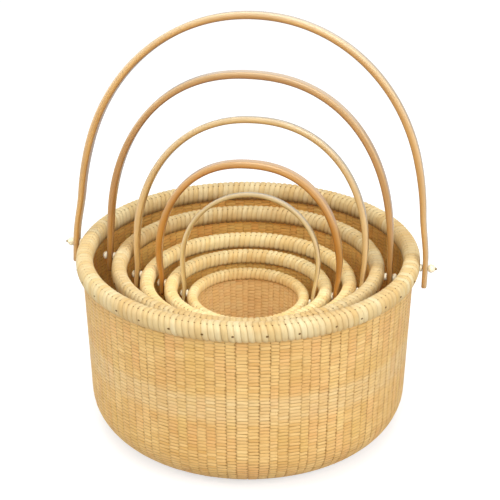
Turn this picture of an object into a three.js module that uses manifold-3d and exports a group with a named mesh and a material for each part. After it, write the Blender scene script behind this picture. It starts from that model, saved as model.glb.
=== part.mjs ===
// A nest of five round rattan baskets, each with a bentwood handle that swings on two pins.
// Every basket is a grooved wooden base, a woven wall of staves and cane, two rim hoops under
// a cane lashing, and at each side a brass pin that carries a bone spacer, the handle and a bone knob.
// Millimetres, +Z up. The origin is the middle of the largest base's underside, and X runs along the pins.
import * as THREE from "three";
import { mergeVertices } from "three/addons/utils/BufferGeometryUtils.js";
import Module from "manifold-3d";

// Sizes that all five baskets share
const LARGEST_RIM_RADIUS = 178.5;
const SMALLEST_HANDLE_RISE = 112.4; // from the pins to the top of the smallest handle
const WALL_THICKNESS = 3.2; // staves with cane in front and behind
const LASHING_THICKNESS = 1.2;
const BASE_THICKNESS = 9.5;
const BASE_CHAMFER = 1.6;
const GROOVE_LIFT = 1.6; // underside of the base up to its groove
const GROOVE_DEPTH = 6;
const PIN_RADIUS = 1.5;
const PIN_CHAMFER = 0.5;
const SPACER_RADIUS = 4.2;
const RIM_FLAT = 0.45; // share of the rim's height that is upright before it rounds over
const HANDLE_CORNER = 0.4; // share of the handle's half section that its corners round off

// Clearances
const SEAT_GAP = 0.3; // between pieces that bear on each other
const LASHING_GAP = 0.45; // between the lashing and the hoops inside it
const RUNNING_GAP = 0.3; // around a pin

// How finely round things are cut
const FOOT_STEPS = 4;
const BOW_STEPS = 3;
const ARCH_STEPS = 8; // from the spring of a handle's arch to its crown
const TURNED_SIDES = 8;

// The baskets from the largest in.
// overhang: how far the rim stands out from the wall
// bow, bowHeight: how far the handle's legs spread, or draw in, from the pins to the spring of the arch
// archPower: 2 makes the arch an ellipse, and more squares its shoulders
// swellHeight: how far above the pins the handle's section has grown from the leg's to the crown's
// pinTip: how far the pin stands out of the knob
// crownStep: how far the handle's top would stand above the next smaller one's, both upright
// clearance: room between the tips of the pins and the rim around them
// lean: how far the handle rests back from upright, in degrees
const NEST = [
  {
    name: "basket14",
    sides: 32,
    height: 198.7,
    rimWidth: 17.8,
    rimHeight: 20.4,
    overhang: 6.2,
    taper: 4.8,
    footRadius: 43,
    spacer: 2.6,
    legThickness: 5.4,
    crownThickness: 7.6,
    legWidth: 13.5,
    crownWidth: 14.5,
    swellHeight: 125,
    tail: 21,
    bow: -7.5,
    bowHeight: 56,
    archPower: 2.05,
    knobLength: 7,
    knobRadius: 4.7,
    pinTip: 2,
    crownStep: 57.1,
    clearance: 0,
    lean: 11,
    handleColor: 0xc98f4e,
  },
  {
    name: "basket11",
    sides: 28,
    height: 174.7,
    rimWidth: 15.8,
    rimHeight: 18.4,
    overhang: 5.6,
    taper: 4.4,
    footRadius: 36,
    spacer: 2.8,
    legThickness: 5.2,
    crownThickness: 7.1,
    legWidth: 11,
    crownWidth: 13.8,
    swellHeight: 90,
    tail: 17,
    bow: -1,
    bowHeight: 25,
    archPower: 2.23,
    knobLength: 4.8,
    knobRadius: 4.4,
    pinTip: 0.5,
    crownStep: 51.8,
    clearance: 4,
    lean: 6,
    handleColor: 0xc08346,
  },
  {
    name: "basket9",
    sides: 28,
    height: 145,
    rimWidth: 15,
    rimHeight: 17.6,
    overhang: 5.2,
    taper: 4,
    footRadius: 30,
    spacer: 3,
    legThickness: 4.7,
    crownThickness: 6.8,
    legWidth: 10.5,
    crownWidth: 12.5,
    swellHeight: 75,
    tail: 15,
    bow: 2.1,
    bowHeight: 35,
    archPower: 2.17,
    knobLength: 3.2,
    knobRadius: 4.2,
    pinTip: 0.5,
    crownStep: 40.4,
    clearance: 0.5,
    lean: 15,
    handleColor: 0xd3a562,
  },
  {
    name: "basket7",
    sides: 24,
    height: 126.5,
    rimWidth: 14,
    rimHeight: 16,
    overhang: 4.8,
    taper: 3.4,
    footRadius: 24,
    spacer: 1.8,
    legThickness: 4.6,
    crownThickness: 7.2,
    legWidth: 8.5,
    crownWidth: 12,
    swellHeight: 60,
    tail: 13,
    bow: 3.4,
    bowHeight: 24,
    archPower: 2.25,
    knobLength: 2.2,
    knobRadius: 4.1,
    pinTip: 0.5,
    crownStep: 39.6,
    clearance: 0.5,
    lean: 4,
    handleColor: 0xc9883f,
  },
  {
    name: "basket5",
    sides: 20,
    height: 105.2,
    rimWidth: 11.5,
    rimHeight: 13.2,
    overhang: 4,
    taper: 2.8,
    footRadius: 18,
    spacer: 2.4,
    legThickness: 3.5,
    crownThickness: 4.7,
    legWidth: 8,
    crownWidth: 9.2,
    swellHeight: 50,
    tail: 11,
    bow: 4.4,
    bowHeight: 38,
    archPower: 2.02,
    knobLength: 2.2,
    knobRadius: 3.6,
    pinTip: 0.5,
    crownStep: 0,
    clearance: 0.5,
    lean: 15,
    handleColor: 0xdcb878,
  },
];

const finish = (color, roughness, metalness = 0) =>
  new THREE.MeshStandardMaterial({ color, roughness, metalness });
const FINISHES = {
  base: finish(0xb98a55, 0.5),
  weave: finish(0xe0b878, 0.6),
  hoop: finish(0xd9b376, 0.55),
  lashing: finish(0xf0d89c, 0.45),
  bone: finish(0xf2ecd4, 0.35),
  brass: finish(0x8a7442, 0.4, 0.9),
};

const wasm = await Module();
wasm.setup();

// A closed geometry as a solid that can be cut.
function solidOf(geometry) {
  const bare = geometry.clone();
  bare.deleteAttribute("normal");
  bare.deleteAttribute("uv");
  const merged = mergeVertices(bare, 1e-4);
  return new wasm.Manifold(
    new wasm.Mesh({
      numProp: 3,
      vertProperties: new Float32Array(merged.attributes.position.array),
      triVerts: new Uint32Array(merged.index.array),
    }),
  );
}

function geometryOf(solid) {
  const mesh = solid.getMesh();
  const geometry = new THREE.BufferGeometry();
  geometry.setAttribute("position", new THREE.BufferAttribute(mesh.vertProperties, 3));
  geometry.setIndex(new THREE.BufferAttribute(mesh.triVerts, 1));
  geometry.computeVertexNormals();
  return geometry;
}

const cut = (geometry, tools) =>
  geometryOf(tools.reduce((solid, tool) => solid.subtract(solidOf(tool)), solidOf(geometry)));

// A profile of [radius, height] points, anticlockwise, turned about Z with a flat facing along X.
function turnedAboutZ(profile, sides) {
  const points = profile.map(([radius, height]) => new THREE.Vector2(radius, height));
  return new THREE.LatheGeometry(points, sides, Math.PI / sides).rotateX(Math.PI / 2);
}

// The same for small turned pieces: [radius, distance along X].
function turnedAboutX(profile) {
  const points = profile.map(([radius, along]) => new THREE.Vector2(radius, along));
  return new THREE.LatheGeometry(points, TURNED_SIDES, Math.PI / TURNED_SIDES).rotateZ(-Math.PI / 2);
}

// A bore that leaves RUNNING_GAP around a pin, also at the middle of its flats.
const BORE_RADIUS = (PIN_RADIUS + RUNNING_GAP) / Math.cos(Math.PI / TURNED_SIDES);

// A straight bore along X.
function pinBore(from, to, z) {
  return new THREE.CylinderGeometry(BORE_RADIUS, BORE_RADIUS, to - from, TURNED_SIDES)
    .rotateZ(-Math.PI / 2)
    .translate((from + to) / 2, 0, z);
}

// Where the middle of a flat lies on a circle that is cut into sides.
const flatOf = (radius, sides) => radius * Math.cos(Math.PI / sides);

// What each basket's own sizes, and the baskets around and inside it, work out to.
function layOut(nest) {
  let floor = 0;
  let room = null;
  const laid = nest.map((sizes) => {
    const seat = 3 * SEAT_GAP + sizes.spacer + sizes.legThickness;
    const reach = seat + sizes.knobLength + sizes.pinTip;
    const rimFace =
      room === null ? flatOf(LARGEST_RIM_RADIUS, sizes.sides) : room - sizes.clearance - reach;
    const rimRadius = rimFace / Math.cos(Math.PI / sizes.sides);
    const rimMiddle = sizes.height - sizes.rimHeight / 2;
    const footTop = GROOVE_LIFT + SEAT_GAP + sizes.footRadius;
    const wallAtRim = rimRadius - sizes.overhang - WALL_THICKNESS / 2;
    const slope = sizes.taper / (rimMiddle - footTop);
    const basket = {
      ...sizes,
      floor,
      rimFace,
      rimCentre: rimRadius - sizes.rimWidth / 2,
      rimMiddle,
      footTop,
      wallTop: sizes.height - LASHING_THICKNESS - LASHING_GAP,
      wallAt: (z) => wallAtRim - slope * (rimMiddle - z),
      baseRadius: wallAtRim - sizes.taper + WALL_THICKNESS / 2 - sizes.footRadius,
      spacerFrom: rimFace + SEAT_GAP,
      handleFrom: rimFace + 2 * SEAT_GAP + sizes.spacer,
      knobFrom: rimFace + seat,
      pinTo: rimFace + reach,
    };
    room = flatOf(rimRadius - sizes.rimWidth, sizes.sides);
    floor += BASE_THICKNESS + SEAT_GAP;
    return basket;
  });
  let crown = null;
  for (const basket of laid.toReversed()) {
    const pivot = basket.floor + basket.rimMiddle;
    basket.rise = crown === null ? SMALLEST_HANDLE_RISE : crown + basket.crownStep - pivot;
    crown = pivot + basket.rise;
  }
  return laid;
}

// A turned board whose edge is grooved for the stave ends.
function baseBoard(b) {
  const grooveTop = GROOVE_LIFT + WALL_THICKNESS + 2 * SEAT_GAP;
  const grooveFloor = b.baseRadius - GROOVE_DEPTH;
  return turnedAboutZ(
    [
      [0, 0],
      [b.baseRadius - BASE_CHAMFER, 0],
      [b.baseRadius, GROOVE_LIFT],
      [grooveFloor, GROOVE_LIFT],
      [grooveFloor, grooveTop],
      [b.baseRadius, grooveTop],
      [b.baseRadius - BASE_CHAMFER, BASE_THICKNESS],
      [0, BASE_THICKNESS],
    ],
    b.sides,
  );
}

// The staves leave the groove flat, turn up round the foot and run straight to the rim.
function wovenWall(b) {
  const footStart = GROOVE_LIFT + SEAT_GAP;
  const grooveEnd = b.baseRadius - GROOVE_DEPTH + SEAT_GAP;
  const half = WALL_THICKNESS / 2;
  const foot = (radius) =>
    Array.from({ length: FOOT_STEPS + 1 }, (_, step) => {
      const angle = (step / FOOT_STEPS) * (Math.PI / 2);
      return [b.baseRadius + radius * Math.sin(angle), b.footTop - radius * Math.cos(angle)];
    });
  return turnedAboutZ(
    [
      [grooveEnd, footStart],
      ...foot(b.footRadius),
      [b.wallAt(b.wallTop) + half, b.wallTop],
      [b.wallAt(b.wallTop) - half, b.wallTop],
      ...foot(b.footRadius - WALL_THICKNESS).reverse(),
      [grooveEnd, footStart + WALL_THICKNESS],
      [grooveEnd, footStart],
    ],
    b.sides,
  );
}

// Four points down one side of the rim, inset from its outer form. side is 1 outside the wall and -1 inside.
function rimSide(b, inset, side) {
  const reach = b.rimWidth / 2 - inset;
  const rise = b.rimHeight / 2 - inset;
  const onWall = (z) => [b.wallAt(z) + side * (WALL_THICKNESS / 2 + SEAT_GAP), z];
  const outward = (z) => [b.rimCentre + side * reach, z];
  return [
    onWall(b.rimMiddle - rise),
    outward(b.rimMiddle - rise * RIM_FLAT),
    outward(b.rimMiddle + rise * RIM_FLAT),
    onWall(b.rimMiddle + rise),
  ];
}

const closed = (profile) => [...profile, profile[0]];
const HOOP_INSET = LASHING_THICKNESS + LASHING_GAP;

const outerHoop = (b) => turnedAboutZ(closed(rimSide(b, HOOP_INSET, 1)), b.sides);
const innerHoop = (b) => turnedAboutZ(closed(rimSide(b, HOOP_INSET, -1).reverse()), b.sides);

// Cane wound over both hoops, from the wall's outside over the top to its inside.
function rimLashing(b) {
  const around = (inset) => [...rimSide(b, inset, 1), ...rimSide(b, inset, -1).reverse()];
  return turnedAboutZ(closed([...around(0), ...around(LASHING_THICKNESS).reverse()]), b.sides);
}

// Rings of equal length joined into one closed skin with flat ends.
function loft(rings) {
  const count = rings[0].length;
  const points = rings.flat();
  const index = [];
  for (let ring = 0; ring < rings.length - 1; ring++) {
    for (let i = 0; i < count; i++) {
      const a = ring * count + i;
      const b = ring * count + ((i + 1) % count);
      index.push(a, b, b + count, a, b + count, a + count);
    }
  }
  const last = (rings.length - 1) * count;
  for (let i = 1; i < count - 1; i++) {
    index.push(0, i + 1, i, last, last + i, last + i + 1);
  }
  const geometry = new THREE.BufferGeometry().setFromPoints(points);
  geometry.setIndex(index);
  geometry.computeVertexNormals();
  return geometry;
}

// The middle line of a handle that stands on the pin axis, as [x, z] from one tail over the crown to the
// other: straight past the pin, a bow in the leg, then the arch.
function handleLine(b) {
  const halfSpan = b.handleFrom + b.legThickness / 2;
  const halfArch = halfSpan + b.bow;
  const archRise = b.rise - b.crownThickness / 2 - b.bowHeight;
  const leg = Array.from({ length: BOW_STEPS }, (_, step) => {
    const share = (step + 1) / BOW_STEPS;
    const spread = (1 - Math.cos(Math.PI * share)) / 2;
    return [halfSpan + b.bow * spread, THREE.MathUtils.lerp(b.knobRadius, b.bowHeight, share)];
  });
  const arch = Array.from({ length: ARCH_STEPS - 1 }, (_, step) => {
    const angle = ((step + 1) / ARCH_STEPS) * (Math.PI / 2);
    const power = 2 / b.archPower;
    return [halfArch * Math.cos(angle) ** power, b.bowHeight + archRise * Math.sin(angle) ** power];
  });
  const right = [[halfSpan, -b.tail], [halfSpan, b.knobRadius], ...leg, ...arch];
  const left = right.map(([x, z]) => [-x, z]).reverse();
  return [...right, [0, b.bowHeight + archRise], ...left];
}

// A strip of wood bent along that line, swelling from the legs to the crown, with its corners taken off.
function bentHandle(b) {
  const line = handleLine(b);
  const corner = 1 - HANDLE_CORNER;
  const rings = line.map(([x, z], i) => {
    const [fromX, fromZ] = line[Math.max(i - 1, 0)];
    const [toX, toZ] = line[Math.min(i + 1, line.length - 1)];
    const outward = new THREE.Vector2(toZ - fromZ, fromX - toX).normalize();
    const swell = THREE.MathUtils.smoothstep(z, 0, b.swellHeight);
    const half = THREE.MathUtils.lerp(b.legThickness, b.crownThickness, swell) / 2;
    const side = THREE.MathUtils.lerp(b.legWidth, b.crownWidth, swell) / 2;
    return [
      [half, side * corner],
      [half * corner, side],
      [-half * corner, side],
      [-half, side * corner],
      [-half, -side * corner],
      [-half * corner, -side],
      [half * corner, -side],
      [half, -side * corner],
    ].map(([out, y]) => new THREE.Vector3(x + out * outward.x, y, z + out * outward.y));
  });
  const [[tailX]] = line;
  return cut(loft(rings), [pinBore(-2 * tailX, 2 * tailX, 0)]);
}

// A domed bone knob, bored for its pin. Distances are from the knob's flat back.
function boneKnob(b) {
  const neck = 0.8;
  const shoulderAt = 0.4;
  const browAt = 0.75;
  return turnedAboutX([
    [BORE_RADIUS, 0],
    [b.knobRadius * neck, 0],
    [b.knobRadius, b.knobLength * shoulderAt],
    [b.knobRadius * neck, b.knobLength * browAt],
    [BORE_RADIUS, b.knobLength],
    [BORE_RADIUS, 0],
  ]);
}

function boneSpacer(b) {
  return turnedAboutX([
    [BORE_RADIUS, 0],
    [SPACER_RADIUS, 0],
    [SPACER_RADIUS, b.spacer],
    [BORE_RADIUS, b.spacer],
    [BORE_RADIUS, 0],
  ]);
}

// A plain pin with a chamfered tip, driven through the rim and stopping in the inner hoop.
function pivotPin(length) {
  return turnedAboutX([
    [0, 0],
    [PIN_RADIUS, 0],
    [PIN_RADIUS, length - PIN_CHAMFER],
    [PIN_RADIUS - PIN_CHAMFER, length],
    [0, length],
  ]);
}

function piece(name, geometry, material) {
  const mesh = new THREE.Mesh(geometry, material);
  mesh.name = name;
  return mesh;
}

function makeBasket(b) {
  const basket = new THREE.Group();
  basket.position.z = b.floor;
  const pinFrom = flatOf(b.rimCentre - b.rimWidth / 2 + HOOP_INSET, b.sides);
  const boreFrom = pinFrom - LASHING_GAP / 2;
  const bores = [
    pinBore(boreFrom, b.pinTo, b.rimMiddle),
    pinBore(-b.pinTo, -boreFrom, b.rimMiddle),
  ];
  basket.add(
    piece(`${b.name}_base_board`, baseBoard(b), FINISHES.base),
    piece(`${b.name}_woven_wall`, cut(wovenWall(b), bores), FINISHES.weave),
    piece(`${b.name}_outer_hoop`, cut(outerHoop(b), bores), FINISHES.hoop),
    piece(`${b.name}_inner_hoop`, cut(innerHoop(b), bores), FINISHES.hoop),
    piece(`${b.name}_rim_lashing`, cut(rimLashing(b), bores), FINISHES.lashing),
  );
  const sides = [
    ["right", 0],
    ["left", Math.PI],
  ];
  for (const [side, turn] of sides) {
    const pivot = new THREE.Group();
    pivot.position.z = b.rimMiddle;
    pivot.rotation.z = turn;
    const pin = piece(`${b.name}_${side}_pin`, pivotPin(b.pinTo - pinFrom), FINISHES.brass);
    pin.position.x = pinFrom;
    const spacer = piece(`${b.name}_${side}_spacer`, boneSpacer(b), FINISHES.bone);
    spacer.position.x = b.spacerFrom;
    const knob = piece(`${b.name}_${side}_knob`, boneKnob(b), FINISHES.bone);
    knob.position.x = b.knobFrom;
    pivot.add(pin, spacer, knob);
    basket.add(pivot);
  }
  const handle = piece(`${b.name}_handle`, bentHandle(b), finish(b.handleColor, 0.4));
  handle.position.z = b.rimMiddle;
  handle.rotation.x = -THREE.MathUtils.degToRad(b.lean);
  basket.add(handle);
  return basket;
}

const nest = new THREE.Group();
nest.name = "basket_nest";
for (const basket of layOut(NEST)) {
  nest.add(makeBasket(basket));
}

export default nest;
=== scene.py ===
"""Looks of a nest of five round baskets: cane woven on staves, lashed rims, bentwood handles, bone fittings."""

import logging
import math
from dataclasses import dataclass
from enum import Enum
from typing import Mapping, Optional, Sequence, Union

import bmesh
import bpy
import numpy as np
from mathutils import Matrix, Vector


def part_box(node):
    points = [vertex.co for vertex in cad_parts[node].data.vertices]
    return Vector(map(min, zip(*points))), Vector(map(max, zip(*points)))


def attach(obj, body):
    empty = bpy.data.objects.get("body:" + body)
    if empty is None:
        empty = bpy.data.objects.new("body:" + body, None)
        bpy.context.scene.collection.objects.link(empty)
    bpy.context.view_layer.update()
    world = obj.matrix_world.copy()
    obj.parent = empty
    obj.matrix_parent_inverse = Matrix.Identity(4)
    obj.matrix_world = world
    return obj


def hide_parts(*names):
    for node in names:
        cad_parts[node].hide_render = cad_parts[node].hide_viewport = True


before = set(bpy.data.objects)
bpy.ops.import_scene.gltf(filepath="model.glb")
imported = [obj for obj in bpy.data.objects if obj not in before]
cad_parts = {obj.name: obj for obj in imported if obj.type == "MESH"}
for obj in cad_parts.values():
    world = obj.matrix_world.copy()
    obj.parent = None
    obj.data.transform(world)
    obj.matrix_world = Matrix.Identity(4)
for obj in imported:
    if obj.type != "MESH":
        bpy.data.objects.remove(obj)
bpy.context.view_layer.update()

LOG = logging.getLogger("nest")

Socket = bpy.types.NodeSocket
Feed = Union[Socket, float, int, str, Sequence[float]]
Feeds = Mapping[Union[str, int], Feed]
Span = tuple[Feed, Feed]

# Places of sockets whose names repeat on their nodes
MIX_FACTOR, MIX_FIRST, MIX_SECOND, MIX_RESULT = 0, 6, 7, 2
RANDOM_LOW, RANDOM_HIGH, RANDOM_RESULT = 2, 3, 1

# Wall and rim, in metres, as the solids have them
HALF_WALL = 0.0016
GROOVE_LIFT = 0.0019
GROOVE_DEPTH = 0.006
RUNNING_GAP = 0.0003
WALL_STEPS = 9
FOOT_STEPS = 15

# How one stretch of cane differs from the next: its place over the stave, its slope, width and crown
STRETCH_PLACE = (0.46, 0.54)
STRETCH_SLOPE = (-0.035, 0.035)
STRETCH_WIDTH = (0.94, 1.06)
STRETCH_CROWN = (0.85, 1.0)

# What is added to a seed for each random draw, and for the copies round the rim
TONE_DRAWS = (1.0, 2.0, 3.0)
PLACE_DRAW, WIDTH_DRAW, CROWN_DRAW = 4.0, 5.0, 6.0
LASHING_SEED, NAIL_SEED = 11, 23

# Shared shader groups: fine fibres in one broad streak, and how sharply fibres and aged patches end
FINE_FIBRES = 5.0
FIBRE_CONTRAST = (0.3, 0.7)
PATCH_CONTRAST = (0.35, 0.7)

# Section of one wrap of rim cane: shares across it, and how far below its crown it lies there
WRAP_SPREAD = (0.0, 0.1, 0.28, 0.5, 0.72, 0.9, 1.0)
WRAP_INSETS = (0.0013, 0.00065, 0.0002, 0.0, 0.0002, 0.00065, 0.0013)

# Domed nail head: how far each ring stands out, and its share of the nail's radius
NAIL_DOME = ((0.0, 1.0), (0.00035, 0.8), (0.0006, 0.3))

# Rounded end of a pin: how far each ring lies from the end, and its share of the pin's radius
PIN_END = ((0.0008, 1.0), (0.0002, 0.75), (0.0, 0.35))

# Rounded tail of a handle: where its rings lie, as shares of the rounding's length
TAIL_ROUNDING = (0.03, 0.2, 0.5, 1.0)

# Round pieces
TURN_STEPS = 96
FITTING_STEPS = 28

# Lamps and camera
WHITE = (1.0, 1.0, 1.0, 1.0)
SENSOR_WIDTH = 36.0


class Side(Enum):
    """Which face of the wall a layer of weave lies on."""

    OUTSIDE = 1
    INSIDE = -1


class End(Enum):
    """Which end of the handle's axis a fitting sits on."""

    RIGHT = 1
    LEFT = -1


def linear(code: str) -> tuple[float, float, float, float]:
    """Turns a colour written as six hexadecimal digits into linear light.

    Args:
        code: red, green and blue as the eye sees them, such as "e3b875".

    Returns:
        The colour as a shader socket takes it, with full alpha.
    """
    channels = [int(code[start : start + 2], 16) / 255 for start in (0, 2, 4)]
    light = [value / 12.92 if value <= 0.04045 else ((value + 0.055) / 1.055) ** 2.4 for value in channels]
    return (light[0], light[1], light[2], 1.0)


class Graph:
    """A node tree with short ways to add nodes, feed their inputs and work with numbers."""

    def __init__(self, tree: bpy.types.NodeTree) -> None:
        """Keeps the tree that the nodes go into."""
        self.tree = tree

    def fill(self, node: bpy.types.Node, feeds: Feeds) -> None:
        """Links sockets to a node's inputs, or sets the inputs to values.

        Args:
            node: the node.
            feeds: what goes into its inputs, by their names or places; a colour may be six hexadecimal digits.
        """
        for key, value in feeds.items():
            target = node.inputs[key]
            if isinstance(value, Socket):
                self.tree.links.new(value, target)
            elif isinstance(value, str) and target.type == "RGBA":
                target.default_value = linear(value)
            else:
                target.default_value = value

    def node(self, kind: str, feeds: Optional[Feeds] = None, **settings: object) -> bpy.types.Node:
        """Adds one node.

        Args:
            kind: the node's type.
            feeds: what goes into its inputs.
            settings: its own options.

        Returns:
            The node.
        """
        made = self.tree.nodes.new(kind)
        for name, value in settings.items():
            setattr(made, name, value)
        self.fill(made, feeds or {})
        return made

    def result(self, kind: str, feeds: Optional[Feeds] = None, **settings: object) -> Socket:
        """Adds one node and returns its first output."""
        return self.node(kind, feeds, **settings).outputs[0]

    def math(self, operation: str, *values: Feed) -> Socket:
        """Adds a sum of numbers and returns its result."""
        return self.result("ShaderNodeMath", dict(enumerate(values)), operation=operation)

    def plus(self, first: Feed, second: Feed) -> Socket:
        """Returns two numbers added."""
        return self.math("ADD", first, second)

    def times(self, first: Feed, second: Feed) -> Socket:
        """Returns two numbers multiplied."""
        return self.math("MULTIPLY", first, second)

    def from_middle(self, share: Feed) -> Socket:
        """Returns how far a share lies from the middle: 0 there, 1 at either end."""
        return self.math("ABSOLUTE", self.math("MULTIPLY_ADD", share, 2.0, -1.0))

    def random(self, span: Span, key: Feed, seed: Feed) -> Socket:
        """Returns a fixed random number within a span for each key."""
        feeds = {RANDOM_LOW: span[0], RANDOM_HIGH: span[1], "ID": key, "Seed": seed}
        return self.node("FunctionNodeRandomValue", feeds, data_type="FLOAT").outputs[RANDOM_RESULT]

    def vector(self, operation: str, *values: Feed) -> Socket:
        """Adds a sum of vectors and returns its result."""
        return self.result("ShaderNodeVectorMath", dict(enumerate(values)), operation=operation)

    def scaled(self, vector: Feed, factor: Feed) -> Socket:
        """Returns a vector times a number."""
        return self.result("ShaderNodeVectorMath", {"Vector": vector, "Scale": factor}, operation="SCALE")

    def combined(self, x: Feed, y: Feed, z: Feed) -> Socket:
        """Returns a vector made of three numbers."""
        return self.result("ShaderNodeCombineXYZ", {"X": x, "Y": y, "Z": z})

    def split(self, vector: Feed) -> list[Socket]:
        """Returns the three numbers of a vector."""
        return list(self.node("ShaderNodeSeparateXYZ", {0: vector}).outputs)

    def mixed(self, factor: Feed, first: Feed, second: Feed) -> Socket:
        """Returns two colours mixed by a factor."""
        feeds = {MIX_FACTOR: factor, MIX_FIRST: first, MIX_SECOND: second}
        return self.node("ShaderNodeMix", feeds, data_type="RGBA", clamp_factor=True).outputs[MIX_RESULT]

    def ranged(self, value: Feed, span: Span, result: Span = (0.0, 1.0)) -> Socket:
        """Moves a value from one span to another, smoothly and within its ends.

        Args:
            value: the value.
            span: the span that it is in.
            result: the span that it moves to.

        Returns:
            The moved value.
        """
        ends = {"From Min": span[0], "From Max": span[1], "To Min": result[0], "To Max": result[1]}
        feeds = {"Value": value, **ends}
        return self.result("ShaderNodeMapRange", feeds, interpolation_type="SMOOTHSTEP", clamp=True)

    def noise(self, vector: Feed, scale: Feed = 1.0, detail: float = 3.0) -> Socket:
        """Returns a noise value over a vector."""
        return self.node("ShaderNodeTexNoise", {"Vector": vector, "Scale": scale, "Detail": detail}).outputs["Fac"]

    def place(self) -> Socket:
        """Returns the place on the object."""
        return self.node("ShaderNodeTexCoord").outputs["Object"]

    def height(self) -> Socket:
        """Returns the height on the object."""
        return self.split(self.place())[2]

    def surface(self) -> Socket:
        """Returns the place on the surface, along it and across it."""
        return self.result("ShaderNodeUVMap", uv_map="UVMap")

    def tones(self) -> list[Socket]:
        """Returns the three random numbers of a copied piece."""
        return self.split(self.node("ShaderNodeAttribute", attribute_name="tone").outputs["Vector"])

    def bump(self, height: Feed, depth: float, strength: float) -> Socket:
        """Returns the normal of a bump of that depth in metres."""
        return self.result("ShaderNodeBump", {"Height": height, "Distance": depth, "Strength": strength})


def new_tree(
    kind: str, name: str, inputs: Mapping[str, str], outputs: Mapping[str, str]
) -> tuple[Graph, bpy.types.NodeOutputs]:
    """Starts a tree of geometry nodes or a group of shader nodes.

    Args:
        kind: the tree's type.
        name: its name.
        inputs: the kind of each input by its name.
        outputs: the kind of each output by its name.

    Returns:
        The tree's graph, and what it is given at its inputs.
    """
    tree = bpy.data.node_groups.new(name, kind)
    for way, sockets in (("INPUT", inputs), ("OUTPUT", outputs)):
        for label, sort in sockets.items():
            tree.interface.new_socket(label, in_out=way, socket_type="NodeSocket" + sort)
    graph = Graph(tree)
    return graph, graph.node("NodeGroupInput").outputs


def geometry_tree(name: str, sizes: Mapping[str, str]) -> tuple[Graph, bpy.types.NodeOutputs]:
    """Starts a tree that copies a piece.

    Args:
        name: the tree's name.
        sizes: the kind of each of its own inputs by its name.

    Returns:
        The tree's graph, and what it is given at its inputs.
    """
    shared = {"Seed": "Int", "Finish": "Material"}
    inputs = {"Geometry": "Geometry", **sizes, **shared}
    return new_tree("GeometryNodeTree", name, inputs, {"Geometry": "Geometry"})


def close_tree(
    graph: Graph, given: bpy.types.NodeOutputs, copies: Feeds, piece: Feed, keys: Sequence[Feed]
) -> bpy.types.NodeTree:
    """Ends a tree: sets a piece on its points, gives each copy its tones, makes them real and dresses them.

    Args:
        graph: the tree's graph.
        given: what the tree is given.
        copies: the points, and how the piece is turned and scaled at each.
        piece: the object that is copied.
        keys: what each of the three tones is drawn for.

    Returns:
        The finished tree.
    """
    shape = graph.node("GeometryNodeObjectInfo", {"Object": piece}).outputs["Geometry"]
    instances = graph.result("GeometryNodeInstanceOnPoints", {**copies, "Instance": shape})
    seeds = [graph.plus(given["Seed"], draw) for draw in TONE_DRAWS]
    tones = graph.combined(*(graph.random((0.0, 1.0), key, seed) for key, seed in zip(keys, seeds)))
    toned = graph.result(
        "GeometryNodeStoreNamedAttribute",
        {"Geometry": instances, "Name": "tone", "Value": tones},
        data_type="FLOAT_VECTOR",
        domain="INSTANCE",
    )
    real = graph.result("GeometryNodeRealizeInstances", {"Geometry": toned})
    dressed = graph.result("GeometryNodeSetMaterial", {"Geometry": real, "Material": given["Finish"]})
    graph.node("NodeGroupOutput", {"Geometry": dressed})
    return graph.tree


def grown(host: bpy.types.Object, tree: bpy.types.NodeTree, values: Mapping[str, object]) -> None:
    """Runs a tree on an object and keeps the result as the object's plain mesh.

    Args:
        host: the object whose mesh the tree starts from.
        tree: the tree.
        values: the tree's inputs by name.
    """
    modifier = host.modifiers.new(tree.name, "NODES")
    modifier.node_group = tree
    for item in tree.interface.items_tree:
        if item.item_type == "SOCKET" and item.in_out == "INPUT" and item.name in values:
            modifier[item.identifier] = values[item.name]
    evaluated = host.evaluated_get(bpy.context.evaluated_depsgraph_get())
    mesh = bpy.data.meshes.new_from_object(evaluated)
    host.modifiers.clear()
    seed_mesh = host.data
    host.data = mesh
    bpy.data.meshes.remove(seed_mesh)


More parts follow.
